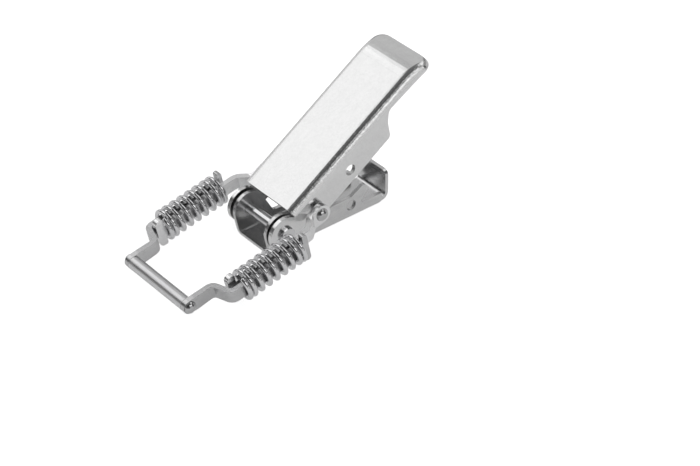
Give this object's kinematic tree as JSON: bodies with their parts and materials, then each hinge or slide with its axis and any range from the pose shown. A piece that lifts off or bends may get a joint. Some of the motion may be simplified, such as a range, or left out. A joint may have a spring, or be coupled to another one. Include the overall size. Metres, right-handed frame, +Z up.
{
  "type": "over centre toggle latch",
  "caption": "Over centre toggle latch with a folded steel lever, twin spring-loaded arms, a crossbar loop and a folded base with screw holes.",
  "frame": {"origin": "on the centre line of the base bracket's flat underside, straight below the main pin's axis", "axes": "+X from the main pin towards the rear of the base and the handle end, -X towards the crossbar loop; +Y across, towards the left pieces; +Z up, out of the mounting surface"},
  "size_m": [0.1297, 0.0652, 0.0632],
  "materials": {
    "plate": "smooth zinc-plated sheet",
    "bar": "zinc-plated flat bar",
    "pin": "bright turned steel",
    "wire": "bright spring wire"
  },
  "bodies": {
    "base": {"base_bracket": "plate", "main_pin": "pin"},
    "lever": {"lever": "plate", "link_pin": "pin"},
    "arms": {"left_rear_bar": "bar", "right_rear_bar": "bar", "left_spring": "wire", "right_spring": "wire"},
    "loop": {"left_front_bar": "bar", "right_front_bar": "bar", "crossbar": "pin"}
  },
  "joints": [
    {"name": "lever_pivot", "type": "hinge", "parent": "base", "child": "lever", "pos_m": [0, 0, 0.0109], "axis": [0, -1, 0], "range_deg": [-35.7, 66.8]},
    {"name": "link_pivot", "type": "hinge", "parent": "lever", "child": "arms", "pos_m": [0.01431, 0, 0.0168], "axis": [0, -1, 0], "range_deg": [-110, 60]},
    {"name": "spring_slide", "type": "slide", "parent": "arms", "child": "loop", "axis": [-0.9789, 0, -0.2045], "range_m": [0, 0.007], "stiffness_N_per_m": 30000, "deforming": ["left_spring", "right_spring"]}
  ]
}
